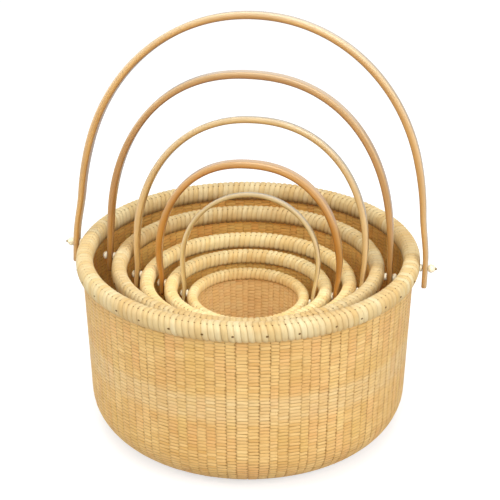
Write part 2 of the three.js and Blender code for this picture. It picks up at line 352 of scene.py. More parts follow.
def weave_tree() -> bpy.types.NodeTree:
    """Builds the tree that winds one strand of cane round the staves, over one and under the next.

    The strand climbs one row in each turn. The number of staves is odd, so a stave that it passes over in one
    row it passes under in the next. The tree makes the stretches that show on one side of the wall.

    Returns:
        The tree.
    """
    counts = dict.fromkeys(("Staves", "Stretches", "First"), "Int")
    lengths = dict.fromkeys(
        ("Start", "Row Pitch", "Side", "Lift", "Crown", "Cover", "Share", "Stave Drift"), "Float"
    )
    graph, given = geometry_tree("woven_cane", {**counts, **lengths, "Strand": "Object"})
    line = graph.result("GeometryNodeMeshToCurve", {"Mesh": given["Geometry"]})
    points = graph.result("GeometryNodePoints", {"Count": given["Stretches"]})
    index = graph.result("GeometryNodeInputIndex")
    step = graph.math("MULTIPLY_ADD", index, 2.0, given["First"])
    stave = graph.math("MODULO", step, given["Staves"])
    turn = graph.math("DIVIDE", step, given["Staves"])
    row = graph.math("FLOOR", turn)
    after = graph.math("MODULO", graph.plus(stave, 1.0), given["Staves"])

    drift = (graph.times(given["Stave Drift"], -1.0), given["Stave Drift"])
    here = graph.random(drift, stave, given["Seed"])
    there = graph.random(drift, after, given["Seed"])
    shift = graph.random(STRETCH_PLACE, index, graph.plus(given["Seed"], PLACE_DRAW))
    middle = graph.plus(graph.times(graph.plus(here, there), 0.5), shift)
    angle = graph.times(graph.math("DIVIDE", graph.plus(stave, middle), given["Staves"]), math.tau)

    along = graph.math("MULTIPLY_ADD", turn, given["Row Pitch"], given["Start"])
    feeds = {"Curves": line, "Length": along}
    sample = graph.node("GeometryNodeSampleCurve", feeds, mode="LENGTH", use_all_curves=True).outputs
    outward = graph.vector("CROSS_PRODUCT", sample["Tangent"], (0.0, 1.0, 0.0))
    facing = graph.scaled(outward, given["Side"])
    flat_place = graph.vector("ADD", sample["Position"], graph.scaled(facing, given["Lift"]))

    def turned(vector: Feed) -> Socket:
        """Returns a vector of the profile's plane turned to the stretch's place round the basket."""
        return graph.result("ShaderNodeVectorRotate", {"Vector": vector, "Angle": angle}, rotation_type="Z_AXIS")

    placed = graph.result("GeometryNodeSetPosition", {"Geometry": points, "Position": turned(flat_place)})
    slope = graph.random(STRETCH_SLOPE, index, given["Seed"])
    run = graph.vector("ADD", turned((0.0, 1.0, 0.0)), graph.scaled(turned(sample["Tangent"]), slope))
    axes = {"Primary Axis": turned(facing), "Secondary Axis": run}
    rotation = graph.result("FunctionNodeAxesToRotation", axes, primary_axis="Z", secondary_axis="X")

    radius = graph.split(sample["Position"])[0]
    pitch = graph.math("DIVIDE", graph.times(radius, math.tau), given["Staves"])
    span = graph.plus(graph.math("SUBTRACT", there, here), given["Cover"])
    width = graph.random(STRETCH_WIDTH, index, graph.plus(given["Seed"], WIDTH_DRAW))
    height = graph.times(graph.times(given["Row Pitch"], 2.0), given["Share"])
    crown = graph.random(STRETCH_CROWN, index, graph.plus(given["Seed"], CROWN_DRAW))
    scale = graph.combined(
        graph.times(pitch, span), graph.times(height, width), graph.times(given["Crown"], crown)
    )
    copies = {"Points": placed, "Rotation": rotation, "Scale": scale}
    return close_tree(graph, given, copies, given["Strand"], (index, row, stave))


def ring_tree() -> bpy.types.NodeTree:
    """Builds the tree that sets copies of a piece round the basket's axis.

    Returns:
        The tree.
    """
    graph, given = geometry_tree("ring_of_pieces", {"Piece": "Object", "Count": "Int", "Drift": "Float"})
    points = graph.result("GeometryNodePoints", {"Count": given["Count"]})
    index = graph.result("GeometryNodeInputIndex")
    drift = graph.random((graph.times(given["Drift"], -1.0), given["Drift"]), index, given["Seed"])
    place = graph.math("DIVIDE", graph.plus(index, drift), given["Count"])
    rotation = graph.combined(0.0, 0.0, graph.times(place, math.tau))
    copies = {"Points": points, "Rotation": rotation}
    return close_tree(graph, given, copies, given["Piece"], (index, index, index))


def fibre_group() -> bpy.types.NodeTree:
    """Builds the group that draws fibres: broad streaks and fine lines, long one way and narrow the other.

    Returns:
        The group, built at the first call.
    """
    name = "fibre_streaks"
    if name in bpy.data.node_groups:
        return bpy.data.node_groups[name]
    inputs = {"Vector": "Vector", "Along": "Float", "Across": "Float", "Seed": "Float"}
    graph, given = new_tree("ShaderNodeTree", name, inputs, {"Streak": "Float", "Fibre": "Float"})
    parts = graph.split(given["Vector"])
    length = graph.times(parts[0], given["Along"])
    width = graph.times(parts[1], given["Across"])
    fine_width = graph.times(width, FINE_FIBRES)
    broad = graph.noise(graph.combined(length, width, given["Seed"]), detail=4.0)
    fine = graph.noise(graph.combined(length, fine_width, given["Seed"]), detail=2.0)
    feeds = {"Streak": graph.ranged(broad, FIBRE_CONTRAST), "Fibre": graph.ranged(fine, FIBRE_CONTRAST)}
    graph.node("NodeGroupOutput", feeds)
    return graph.tree


def age_group() -> bpy.types.NodeTree:
    """Builds the group that ages a colour in soft patches, as handled cane and wood darken and redden.

    Returns:
        The group, built at the first call.
    """
    name = "aged_patches"
    if name in bpy.data.node_groups:
        return bpy.data.node_groups[name]
    inputs = {"Colour": "Color", "Aged": "Color", "Vector": "Vector", "Scale": "Float", "Amount": "Float"}
    graph, given = new_tree("ShaderNodeTree", name, inputs, {"Colour": "Color"})
    patch = graph.ranged(graph.noise(given["Vector"], given["Scale"], detail=4.0), PATCH_CONTRAST)
    factor = graph.times(patch, given["Amount"])
    graph.node("NodeGroupOutput", {"Colour": graph.mixed(factor, given["Colour"], given["Aged"])})
    return graph.tree


class Finish:
    """A finish that makes its material once."""

    name: str

    def dress(self, graph: Graph) -> dict[str, Feed]:
        """Builds the finish's nodes and returns what goes into the shader's inputs."""
        raise NotImplementedError

    def material(self) -> bpy.types.Material:
        """Makes the finish's material at the first call. No slot of the record has a finish's name.

        Returns:
            The material.
        """
        if self.name in bpy.data.materials:
            return bpy.data.materials[self.name]
        made = bpy.data.materials.new(self.name)
        made.use_nodes = True
        made.node_tree.nodes.clear()
        graph = Graph(made.node_tree)
        shader = graph.result("ShaderNodeBsdfPrincipled", self.dress(graph))
        graph.node("ShaderNodeOutputMaterial", {"Surface": shader})
        return made

    def fibres(
        self, graph: Graph, vector: Feed, along: float, across: float, seed: Feed
    ) -> bpy.types.NodeOutputs:
        """Places the shared group that draws fibres and returns its outputs."""
        feeds = {"Vector": vector, "Along": along, "Across": across, "Seed": seed}
        return graph.node("ShaderNodeGroup", feeds, node_tree=fibre_group()).outputs

    def aged(self, graph: Graph, colour: Feed, tint: str, scale: float, amount: float) -> Socket:
        """Places the shared group that ages a colour in patches and returns the new colour."""
        feeds = {"Colour": colour, "Aged": tint, "Vector": graph.place(), "Scale": scale, "Amount": amount}
        return graph.result("ShaderNodeGroup", feeds, node_tree=age_group())


@dataclass(frozen=True)
class CaneFinish(Finish):
    """Woven cane strand: each stretch has its own tone, its edges and the pocket where it dips under are darker
    with dirt and painted shade, and its fibres run along it.
    """

    name: str
    light: str
    dark: str
    aged_to: str
    edge: str
    blush: str
    straw: str
    pale: str = "f3d9a4"
    pale_share: float = 0.0
    pale_height: float = 0.101
    pale_reach: float = 0.02
    # How dark the dirt and painted shade get in the pockets and along the edges of each stretch
    dirt_and_shade: float = 0.85
    own_share: float = 0.42
    row_share: float = 0.32
    stave_share: float = 0.26
    fibre_share: float = 0.22
    fibre_spread: float = 40.0
    stave_spread: float = 90.0
    stave_patches: float = 22.0
    blush_share: float = 0.45
    straw_share: float = 0.6
    least_dirt_and_shade: float = 0.4
    most_dirt_and_shade: float = 0.85
    edge_dirt_and_shade: float = 0.42
    smoothest: float = 0.34
    roughening: float = 0.16

    def dress(self, graph: Graph) -> dict[str, Feed]:
        """Builds the strand's nodes.

        Args:
            graph: the graph of the material's nodes.

        Returns:
            What goes into the shader's inputs, by their names.
        """
        own, row, stave = graph.tones()
        spot = graph.surface()
        shared = graph.math("MULTIPLY_ADD", row, self.row_share, graph.times(stave, self.stave_share))
        colour = graph.mixed(graph.plus(graph.times(own, self.own_share), shared), self.dark, self.light)
        colour = self.by_stave(graph, colour, stave)
        colour = self.aged(graph, colour, self.aged_to, scale=26.0, amount=0.3)
        if self.pale_share:
            colour = self.with_pale_rows(graph, colour, row)
        seed = graph.times(own, self.fibre_spread)
        fibre = self.fibres(graph, spot, along=1.5, across=7.0, seed=seed)["Fibre"]
        colour = graph.mixed(graph.times(fibre, self.fibre_share), colour, self.edge)
        return {
            # Dirt and painted shade in the pockets and along the edges of each stretch
            "Base Color": graph.mixed(self.dirt_and_shade_mask(graph, spot, stave), colour, self.edge),
            "Specular IOR Level": 0.4,
            "Roughness": graph.math("MULTIPLY_ADD", own, self.roughening, self.smoothest),
            "Normal": graph.bump(fibre, depth=0.00012, strength=0.5),
        }

    def dirt_and_shade_mask(self, graph: Graph, spot: Feed, stave: Feed) -> Socket:
        """Works out where dirt and painted shade lie: in the pocket where a stretch dips under, and along its
        edges.

        Args:
            graph: the graph of the material's nodes.
            spot: the place on the stretch.
            stave: the stave's random number.

        Returns:
            How much dirt and painted shade cover the cane.
        """
        along, across = graph.split(spot)[:2]
        edge = graph.from_middle(across)
        dip = graph.ranged(along, (0.1, 0.22), (1.0, 0.0))
        # Painted shade, partly dirt, in the pocket where the stretch dips under its neighbour
        pocket = graph.times(dip, graph.ranged(edge, (0.3, 0.9), (1.0, 0.2)))
        depth = graph.ranged(stave, (0.1, 0.8), (self.dirt_and_shade * self.least_dirt_and_shade, self.dirt_and_shade * self.most_dirt_and_shade))
        # Painted shade, partly dirt, along the stretch's edges, between the rows
        line = graph.ranged(edge, (0.5, 1.0), (0.0, self.dirt_and_shade * self.edge_dirt_and_shade))
        return graph.math("MAXIMUM", graph.times(pocket, depth), line)

    def by_stave(self, graph: Graph, colour: Feed, stave: Feed) -> Socket:
        """Blushes or yellows a colour in long patches that follow single staves.

        Args:
            graph: the graph of the material's nodes.
            colour: the colour.
            stave: the stave's random number.

        Returns:
            The new colour.
        """
        rise = graph.times(graph.height(), self.stave_patches)
        patch = graph.noise(graph.combined(graph.times(stave, self.stave_spread), rise, 0.0), detail=1.0)
        blush = graph.ranged(patch, (0.5, 0.72), (0.0, self.blush_share))
        straw = graph.ranged(patch, (0.28, 0.5), (self.straw_share, 0.0))
        return graph.mixed(straw, graph.mixed(blush, colour, self.blush), self.straw)

    def with_pale_rows(self, graph: Graph, colour: Feed, row: Feed) -> Socket:
        """Lays a band of paler rows part of the way down the wall.

        Args:
            graph: the graph of the material's nodes.
            colour: the colour.
            row: the row's random number.

        Returns:
            The new colour.
        """
        away = graph.math("ABSOLUTE", graph.math("SUBTRACT", graph.height(), self.pale_height))
        band = graph.ranged(away, (self.pale_reach * 0.4, self.pale_reach), (self.pale_share, 0.0))
        share = graph.times(band, graph.ranged(row, (0.0, 1.0), (0.8, 1.1)))
        return graph.mixed(share, colour, self.pale)


@dataclass(frozen=True)
class StaveFinish(Finish):
    """Staves and hoops under the cane: plain dull brown wood with soft patches; the hoops' darker brown is partly
    painted shade.
    """

    name: str
    colour: str
    shade: str

    def dress(self, graph: Graph) -> dict[str, Feed]:
        """Builds the wood's nodes.

        Args:
            graph: the graph of the material's nodes.

        Returns:
            What goes into the shader's inputs, by their names.
        """
        patch = graph.noise(graph.place(), scale=180.0)
        return {
            "Base Color": graph.mixed(patch, self.colour, self.shade),
            "Roughness": 0.8,
            "Normal": graph.bump(patch, depth=0.0002, strength=0.6),
        }


@dataclass(frozen=True)
class RimCaneFinish(Finish):
    """Flat cane wound over the rim: pale, satin, with fibres along each wrap, and painted shade in the grooves
    between wraps, towards the underside and low on the inner side.
    """

    name: str
    light: str
    dark: str
    aged_to: str
    edge: str
    # Painted shadow low on the rim's inner side: where it starts round the section, how far it takes to deepen and
    # how dark it gets
    painted_shadow_from: float = 0.785
    painted_shadow_reach: float = 0.1
    painted_shadow_share: float = 0.65
    streak_share: float = 0.25
    fibre_share: float = 0.12
    fibre_spread: float = 60.0
    # How dark the painted shade gets towards the underside of each wrap
    underside_shade_share: float = 0.45
    # How dark the painted shade gets in the grooves between wraps
    groove_shade_share: float = 0.25
    smoothest: float = 0.44
    roughening: float = 0.14

    def dress(self, graph: Graph) -> dict[str, Feed]:
        """Builds the wrap's nodes.

        Args:
            graph: the graph of the material's nodes.

        Returns:
            What goes into the shader's inputs, by their names.
        """
        own, strand, gloss = graph.tones()
        spot = graph.surface()
        along, across = graph.split(spot)[:2]
        colour = graph.mixed(own, self.dark, self.light)
        colour = self.aged(graph, colour, self.aged_to, scale=22.0, amount=0.5)
        seed = graph.times(strand, self.fibre_spread)
        streaks = self.fibres(graph, spot, along=2.5, across=6.0, seed=seed)
        colour = graph.mixed(graph.times(streaks["Streak"], self.streak_share), colour, self.aged_to)
        colour = graph.mixed(graph.times(streaks["Fibre"], self.fibre_share), colour, self.edge)
        # Painted shade towards the underside of each wrap, where light from above doesn't fall
        under = graph.ranged(graph.from_middle(along), (0.55, 0.95), (0.0, self.underside_shade_share))
        colour = graph.mixed(under, colour, self.aged_to)
        # Painted shadow on the lower part of the rim's inner side
        painted_shadow_to = self.painted_shadow_from + self.painted_shadow_reach
        inner = graph.ranged(along, (self.painted_shadow_from, painted_shadow_to), (0.0, self.painted_shadow_share))
        colour = graph.mixed(inner, colour, self.edge)
        # Painted shade along the edges of each wrap, in the grooves between them
        groove_shade = graph.ranged(graph.from_middle(across), (0.7, 1.0), (0.0, self.groove_shade_share))
        return {
            "Base Color": graph.mixed(groove_shade, colour, self.edge),
            "Roughness": graph.math("MULTIPLY_ADD", gloss, self.roughening, self.smoothest),
            "Specular IOR Level": 0.3,
            "Normal": graph.bump(streaks["Fibre"], depth=0.0001, strength=0.4),
        }


@dataclass(frozen=True)
class WoodFinish(Finish):
    """Bent or turned wood under a satin varnish, its grain along the piece."""

    name: str
    light: str
    dark: str
    aged_to: str
    along: float = 9.0
    across: float = 420.0
    seed: float = 1.0
    by_uv: bool = True
    coat: float = 1.0
    # Colour of the painted reflection, partly wear, on a handle's outer face towards the crown; empty for none
    crown: str = ""
    crown_height: float = 0.0
    crown_reach: float = 0.1
    streak_share: float = 0.75
    pore_share: float = 0.3
    smoothest: float = 0.34
    roughening: float = 0.12

    def dress(self, graph: Graph) -> dict[str, Feed]:
        """Builds the wood's nodes.

        Args:
            graph: the graph of the material's nodes.

        Returns:
            What goes into the shader's inputs, by their names.
        """
        vector = graph.surface() if self.by_uv else graph.place()
        grain = self.fibres(graph, vector, self.along, self.across, self.seed)
        colour = graph.mixed(graph.times(grain["Streak"], self.streak_share), self.light, self.dark)
        pores = graph.ranged(grain["Fibre"], (0.55, 1.0), (0.0, self.pore_share))
        colour = graph.mixed(pores, colour, self.aged_to)
        colour = self.aged(graph, colour, self.aged_to, scale=14.0, amount=0.35)
        if self.crown:
            colour = self.with_wear_reflection_and_shade(graph, colour)
        return {
            "Base Color": colour,
            "Roughness": graph.math("MULTIPLY_ADD", grain["Fibre"], self.roughening, self.smoothest),
            "Coat Weight": self.coat,
            "Coat Roughness": 0.18,
            "Normal": graph.bump(grain["Fibre"], depth=0.00015, strength=0.35),
        }

    def with_wear_reflection_and_shade(self, graph: Graph, colour: Feed) -> Socket:
        """Pales a colour on the outer face of a handle, more towards the crown: partly wear where it is held,
        partly painted reflection; and darkens its inner face with painted shade.

        Args:
            graph: the graph of the material's nodes.
            colour: the colour.

        Returns:
            The new colour.
        """
        face = graph.node("ShaderNodeAttribute", attribute_name="face").outputs["Fac"]
        reach = (self.crown_height - self.crown_reach, self.crown_height)
        share = graph.ranged(graph.height(), reach, (0.38, 0.75))
        # Painted reflection, partly wear, on the outer face
        above = graph.times(share, graph.ranged(face, (-0.4, 0.9), (0.1, 1.0)))
        # Painted shade on the inner face
        under = graph.times(share, graph.ranged(face, (-1.0, 0.0), (1.2, 0.0)))
        return graph.mixed(under, graph.mixed(above, colour, self.crown), self.aged_to)


@dataclass(frozen=True)
class BoneFinish(Finish):
    """Turned bone: warm white, polished, with faint growth lines and yellowed patches."""

    name: str
    colour: str
    aged_to: str
    line_share: float = 0.18
    smoothest: float = 0.22
    roughening: float = 0.1

    def dress(self, graph: Graph) -> dict[str, Feed]:
        """Builds the bone's nodes.

        Args:
            graph: the graph of the material's nodes.

        Returns:
            What goes into the shader's inputs, by their names.
        """
        lines = self.fibres(graph, graph.place(), along=260.0, across=900.0, seed=4.0)
        colour = self.aged(graph, self.colour, self.aged_to, scale=160.0, amount=0.7)
        return {
            "Base Color": graph.mixed(graph.times(lines["Streak"], self.line_share), colour, self.aged_to),
            "Roughness": graph.math("MULTIPLY_ADD", lines["Fibre"], self.roughening, self.smoothest),
            "Subsurface Weight": 0.12,
            "Subsurface Radius": (0.004, 0.003, 0.002),
            "Subsurface Scale": 0.5,
            "Normal": graph.bump(lines["Fibre"], depth=0.00005, strength=0.3),
        }


@dataclass(frozen=True)
class MetalFinish(Finish):
    """Old metal of pins and nails, dulled in patches."""

    name: str
    bright: str
    dull: str
    smoothest: float
    metallic: float = 0.9
    roughening: float = 0.3

    def dress(self, graph: Graph) -> dict[str, Feed]:
        """Builds the metal's nodes.

        Args:
            graph: the graph of the material's nodes.

        Returns:
            What goes into the shader's inputs, by their names.
        """
        patch = graph.noise(graph.place(), scale=900.0, detail=4.0)
        return {
            "Base Color": graph.mixed(patch, self.bright, self.dull),
            "Roughness": graph.math("MULTIPLY_ADD", patch, self.roughening, self.smoothest),
            "Metallic": self.metallic,
            "Normal": graph.bump(patch, depth=0.0001, strength=0.3),
        }


OUTER_CANE = CaneFinish("outer_cane", "ffdc96", "e6b466", "dca857", "96651f", "f2b572", "efc775", pale_share=0.4)
# The inside faces are written brighter than the outside cane: painted light that makes up for the shade inside the
# baskets, brightest in the smallest basket
BRIGHTENED_INNER_CANE = CaneFinish("inner_cane", "ffdc80", "ffc768", "fab04e", "c88538", "ffb260", "fec768", dirt_and_shade=0.7)
BRIGHTEST_INNER_CANE = CaneFinish(
    "pale_inner_cane", "ffeaac", "ffda94", "fcc87c", "d2984e", "ffc688", "ffda94", dirt_and_shade=0.8
)
STAVES = StaveFinish("stave_wood", "cc9a50", "b28238")
# The hoops are darker than the staves: partly their wood, partly painted shade where they show through the gaps
# and holes between wraps
SHADED_HOOP_WOOD = StaveFinish("hoop_wood", "8a602c", "6c481c")
RIM_CANE = RimCaneFinish("wound_cane", "e8d9ac", "dcc28a", "cea25c", "8a6028")
# The rims of the three smaller baskets are written brighter than the others: painted light that makes up for the
# shade falling on them inside the nest
BRIGHTENED_RIM_CANE = RimCaneFinish("pale_wound_cane", "fff0bc", "fadf9e", "eec274", "96692c", painted_shadow_from=0.83)
BASE_WOOD = WoodFinish("turned_wood", "cf9a5c", "b27c40", "8f5c2a", 30.0, 240.0, by_uv=False, coat=0.1)
# Each handle's crown colour is the painted reflection, partly wear, on its outer face
HANDLE14_WOOD = WoodFinish(
    "handle14_bentwood", "cc9a48", "b07828", "8f5c1c", seed=1.0, crown="dec8a0", crown_height=0.42
)
HANDLE11_WOOD = WoodFinish(
    "handle11_bentwood", "c48e40", "a46a20", "7d4c14", seed=2.0, crown="c4a678", crown_height=0.36
)
HANDLE9_WOOD = WoodFinish(
    "handle9_bentwood", "dab26a", "c29446", "9c702a", seed=3.0, crown="f2dcb2", crown_height=0.31
)
HANDLE7_WOOD = WoodFinish(
    "handle7_bentwood", "d2943a", "b8721c", "875010", seed=4.0, crown="c8a26c", crown_height=0.28
)
HANDLE5_WOOD = WoodFinish(
    "handle5_bentwood", "e0c384", "caa95e", "a8823c", seed=5.0, crown="f0dcb0", crown_height=0.23
)
BONE = BoneFinish("turned_bone", "fbf3da", "ecd9a8")
BRASS = MetalFinish("old_brass", "b9a173", "6d5a36", 0.3)
NAIL = MetalFinish("dark_nail", "86642e", "4c3414", 0.5, 0.4)


def object_of(name: str, data: bpy.types.ID) -> bpy.types.Object:
    """Puts a mesh, a lamp or a camera into the scene.

    Args:
        name: the object's name.
        data: what it shows.

    Returns:
        The object.
    """
    made = bpy.data.objects.new(name, data)
    bpy.context.scene.collection.objects.link(made)
    return made


class Loft:
    """A surface through rows of points, kept as one mesh that may hold several such surfaces."""

    def __init__(self) -> None:
        """Starts with no points."""
        self.points: list[np.ndarray] = []
        self.faces: list[tuple[int, ...]] = []
        self.places: list[tuple[float, float]] = []
        self.count = 0

    def add(
        self,
        rows: np.ndarray,
        along: Sequence[float],
        across: Sequence[float],
        closed: bool = False,
        looped: bool = False,
        capped: bool = False,
    ) -> "Loft":
        """Adds a surface.

        Args:
            rows: points as an array of rows, columns and three numbers.
            along: where each row lies along the surface, with one more value if it is looped.
            across: where each column lies across it, with one more value if it is closed.
            closed: whether the last column joins the first.
            looped: whether the last row joins the first.
            capped: whether the first and last rows are filled.

        Returns:
            The loft itself.
        """
        row_count, column_count = rows.shape[:2]
        start = self.count
        self.points.append(rows.reshape(-1, 3))
        self.count += row_count * column_count
        for row in range(row_count if looped else row_count - 1):
            for column in range(column_count if closed else column_count - 1):
                corners = ((row, column), (row + 1, column), (row + 1, column + 1), (row, column + 1))
                self.faces.append(
                    tuple(start + (r % row_count) * column_count + c % column_count for r, c in corners)
                )
                self.places.extend((along[r], across[c]) for r, c in corners)
        if capped:
            for row, order in ((0, 1), (row_count - 1, -1)):
                ring = [start + row * column_count + column for column in range(column_count)][::order]
                self.faces.append(tuple(ring))
                self.places.extend((along[row], across[column]) for column in range(column_count))
        return self

    def object(self, name: str, finish: Optional[Finish] = None, outward: bool = True) -> bpy.types.Object:
        """Makes the object.

        Args:
            name: its name.
            finish: what it is dressed in, unless a tree dresses its copies.
            outward: whether its faces are turned outwards, for a closed piece.

        Returns:
            The object.
        """
        mesh = bpy.data.meshes.new(name)
        mesh.from_pydata(np.vstack(self.points).tolist(), [], self.faces)
        layer = mesh.uv_layers.new(name="UVMap")
        layer.data.foreach_set("uv", np.array(self.places, dtype=np.float32).ravel())
        if outward:
            shell = bmesh.new()
            shell.from_mesh(mesh)
            bmesh.ops.recalc_face_normals(shell, faces=shell.faces)
            shell.to_mesh(mesh)
            shell.free()
        mesh.shade_smooth()
        if finish is not None:
            mesh.materials.append(finish.material())
        return object_of(name, mesh)


def round_turn(steps: int) -> np.ndarray:
    """Returns the angles of equal steps round an axis."""
    return np.arange(steps) * math.tau / steps


def upright_rings(line: np.ndarray, steps: int) -> np.ndarray:
    """Turns a line round the upright axis.

    Args:
        line: points of radius and height.
        steps: how many places round the axis.

    Returns:
        Rows of points, one row for each place.
    """
    angles = round_turn(steps)
    radius, height = line[:, 0], line[:, 1]
    x = np.cos(angles)[:, None] * radius
    y = np.sin(angles)[:, None] * radius
    return np.stack([x, y, np.broadcast_to(height, x.shape)], axis=2)


def pin_rings(line: np.ndarray, steps: int, height: float, stretch: float = 1.0) -> np.ndarray:
    """Turns a line round a level axis that runs to the side, as the pins do.

    Args:
        line: points of distance along the axis and radius.
        steps: how many places round the axis.
        height: how high the axis lies.
        stretch: how much wider than high the rings are.

    Returns:
        Rows of points, one row for each point of the line.
    """
    angles = round_turn(steps)
    place, radius = line[:, :1], line[:, 1:]
    y = stretch * radius * np.cos(angles)
    z = radius * np.sin(angles) + height
    return np.stack([np.broadcast_to(place, y.shape), y, z], axis=2)


def oval(half_width: float, half_height: float, angles: np.ndarray, roundness: float) -> np.ndarray:
    """Works out points of a squared oval.

    Args:
        half_width: half its width.
        half_height: half its height.
        angles: where the points lie round it.
        roundness: 2 for a round oval, more for a squarer one.

    Returns:
        Offsets to the side and up.
    """
    power = 2 / roundness
    side = np.sign(np.cos(angles)) * np.abs(np.cos(angles)) ** power * half_width
    up = np.sign(np.sin(angles)) * np.abs(np.sin(angles)) ** power * half_height
    return np.stack([side, up], axis=1)


def smooth_step(share: np.ndarray) -> np.ndarray:
    """Returns shares from 0 to 1 eased at both ends."""
    return share**2 * (3 - 2 * share)


def node_points(node: str) -> np.ndarray:
    """Reads the corners of a solid of the frame.

    Args:
        node: the solid's name.

    Returns:
        The corners in metres.
    """
    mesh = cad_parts[node].data
    points = np.empty(len(mesh.vertices) * 3, dtype=np.float32)
    mesh.vertices.foreach_get("co", points)
    return points.reshape(-1, 3).astype(float)


def round_radius(points: np.ndarray) -> float:
    """Finds the radius of the round piece that a solid with flat sides stands for.

    Args:
        points: the solid's corners.

    Returns:
        The radius half-way between its flats and its corners.
    """
    corner = np.hypot(points[:, 0], points[:, 1]).max()
    flat = points[:, 0].max()
    return float(corner + flat) / 2


@dataclass
class Basket:
    """One basket of the nest, with the sizes that its pieces share; what the solids show is measured from them."""

    name: str
    seed: int
    foot_radius: float
    taper: float
    overhang: float
    rim_width: float

    def __post_init__(self) -> None:
        """Measures the basket's solids."""
        base = node_points(self.node("base_board"))
        lashing = node_points(self.node("rim_lashing"))
        wall = node_points(self.node("woven_wall"))
        self.base_radius = round_radius(base)
        self.floor = float(base[:, 2].min())
        self.base_top = float(base[:, 2].max())
        self.rim_radius = round_radius(lashing)
        self.rim_low = float(lashing[:, 2].min())
        self.rim_high = float(lashing[:, 2].max())
        self.rim_middle = (self.rim_low + self.rim_high) / 2
        self.rim_centre = self.rim_radius - self.rim_width / 2
        self.wall_top = float(wall[:, 2].max())
        self.foot_top = self.floor + GROOVE_LIFT + self.foot_radius

    def node(self, piece: str) -> str:
        """Returns the name of one of the basket's solids or pieces."""
        return f"{self.name}_{piece}"

    def wall_line(self, offset: float = 0.0) -> np.ndarray:
        """Returns the wall's line from its top down to the groove of the base.

        Args:
            offset: how far outside the wall's middle the line runs.

        Returns:
            Points of radius and height.
        """
        at_rim = self.rim_radius - self.overhang - HALF_WALL
        at_top = at_rim + self.taper * (self.wall_top - self.rim_middle) / (self.rim_middle - self.foot_top)
        bend = self.foot_radius - HALF_WALL + offset
        angles = np.linspace(0, -math.pi / 2, FOOT_STEPS)
        foot = np.stack([self.base_radius + bend * np.cos(angles), self.foot_top + bend * np.sin(angles)], axis=1)
        straight = np.linspace([at_top + offset, self.wall_top], foot[0], WALL_STEPS)[:-1]
        end = [[self.base_radius - GROOVE_DEPTH * 0.5, foot[-1][1]]]
        return np.vstack([straight, foot, end])


@dataclass
class SubAssembly:
    """Pieces of one basket that belong together."""

    basket: Basket

    def build(self) -> None:
        """Makes the pieces."""
        raise NotImplementedError

    def settle(self, piece: bpy.types.Object, body: str, slot: str, *solids: str) -> None:
        """Hangs a piece on its body and hides the solids that it stands for.

        Args:
            piece: the finished piece.
            body: the body that it rides on.
            slot: the record's material slot; not used.
            solids: the basket's solids that it replaces.
        """
        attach(piece, body)
        if solids:
            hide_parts(*(self.basket.node(solid) for solid in solids))
        LOG.info("%s: %d faces on %s", piece.name, len(piece.data.polygons), body)

    def round_piece(self, name: str, finish: Finish, line: np.ndarray, slot: str, *solids: str) -> None:
        """Makes a piece that is the same all round the basket.

        Args:
            name: the piece's name.
            finish: what it is dressed in.
            line: its closed section, as points of radius and height.
            slot: its material slot.
            solids: the basket's solids that it replaces.
        """
        rows = upright_rings(line, TURN_STEPS)
        loft = Loft().add(rows, range(len(rows) + 1), range(len(line) + 1), closed=True, looped=True)
        self.settle(loft.object(self.basket.node(name), finish), self.basket.name, slot, *solids)


@dataclass
class Wall(SubAssembly):
    """The woven wall: a shell of staves and the cane woven over them, on both faces."""

    weave: bpy.types.NodeTree
    strand: bpy.types.Object
    staves: int
    inner_finish: CaneFinish
    row_pitch: float = 0.0019
    core_half: float = 0.0005
    strand_cover: float = 1.15
    strand_share: float = 0.98
    stave_drift: float = 0.17
    rows_under_rim: float = 0.004

    def build(self) -> None:
        """Makes the two faces of weave and the staves."""
        self.weave_side(Side.OUTSIDE, OUTER_CANE, "woven_wall")
        self.weave_side(Side.INSIDE, self.inner_finish)
        outer, inner = self.basket.wall_line(self.core_half), self.basket.wall_line(-self.core_half)
        self.round_piece("stave_core", STAVES, np.vstack([outer, inner[::-1]]), "woven_cane")

    def weave_side(self, side: Side, finish: CaneFinish, *solids: str) -> None:
        """Weaves the cane that shows on one side of the wall.

        Args:
            side: the side.
            finish: what its strands are dressed in.
            solids: the basket's solids that they replace.
        """
        basket = self.basket
        line = basket.wall_line()
        points = np.stack([line[:, 0], np.zeros(len(line)), line[:, 1]], axis=1)
        mesh = bpy.data.meshes.new("weave_line")
        mesh.from_pydata(points.tolist(), [(i, i + 1) for i in range(len(points) - 1)], [])
        host = object_of(basket.node(f"{side.name.lower()}_weave"), mesh)
        length = float(np.linalg.norm(np.diff(line, axis=0), axis=1).sum())
        start = basket.wall_top - basket.rim_low - self.rows_under_rim
        rows = (length - start) / self.row_pitch
        values = {
            "Staves": self.staves,
            "Stretches": int(rows * self.staves / 2),
            "First": 0 if side is Side.OUTSIDE else 1,
            "Start": start,
            "Row Pitch": self.row_pitch,
            "Side": float(side.value),
            "Lift": self.core_half,
            "Crown": HALF_WALL - self.core_half,
            "Cover": self.strand_cover,
            "Share": self.strand_share,
            "Stave Drift": self.stave_drift,
            "Strand": self.strand,
            "Seed": basket.seed,
            "Finish": finish.material(),
        }
        grown(host, self.weave, values)
        self.settle(host, basket.name, "woven_cane", *solids)


